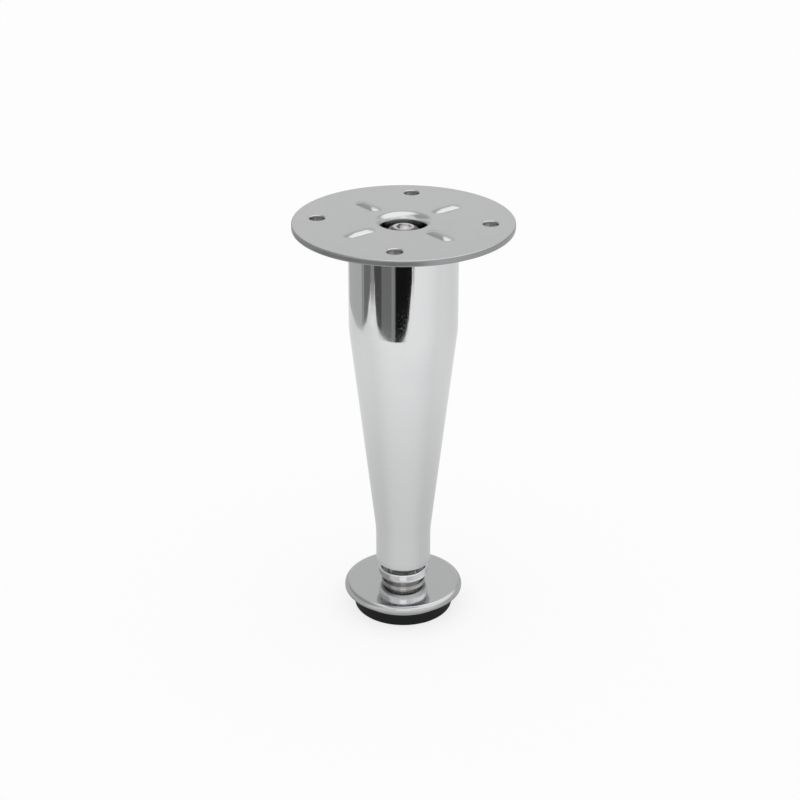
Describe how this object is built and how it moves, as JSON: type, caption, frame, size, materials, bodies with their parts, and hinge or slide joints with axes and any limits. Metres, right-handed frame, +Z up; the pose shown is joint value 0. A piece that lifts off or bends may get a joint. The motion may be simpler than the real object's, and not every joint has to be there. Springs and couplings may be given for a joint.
{
  "type": "adjustable cabinet leg",
  "caption": "Tapered chrome furniture leg with a round screw-on plate at the top and a screw-in levelling foot with a black pad.",
  "frame": {"origin": "on the leg's axis, at the underside of the foot's pad, with the foot screwed partly out as in the picture", "axes": "+Z up along the leg's axis, towards the cabinet; +X and +Y each through one of the plate's screw holes"},
  "size_m": [0.076, 0.076, 0.151],
  "materials": {
    "bright_plating": "polished",
    "dark_steel": "satin",
    "plain_steel": "satin",
    "pad_plastic": "matte"
  },
  "bodies": {
    "leg": {"mounting_plate": "bright_plating", "plate_bolt": "dark_steel", "lock_washer": "plain_steel", "top_disc": "plain_steel", "weld_nut": "plain_steel", "leg_tube": "bright_plating", "threaded_bush": "plain_steel"},
    "pad": {"glide_pad": "pad_plastic"},
    "foot": {"foot_spindle": "bright_plating", "foot_cap": "bright_plating", "pad_keeper": "plain_steel"}
  },
  "joints": [
    {"name": "foot_height", "type": "slide", "parent": "leg", "child": "pad", "axis": [0, 0, 1], "range_m": [-0.015, 0.0021]},
    {"name": "foot_turn", "type": "hinge", "parent": "pad", "child": "foot", "pos_m": [0, 0, 0.0085], "axis": [0, 0, 1], "range_deg": [-3600, 504]}
  ],
  "couplings": [
    {"joint": "foot_height", "follows": "foot_turn", "m_per_rad": 0.00023873}
  ]
}
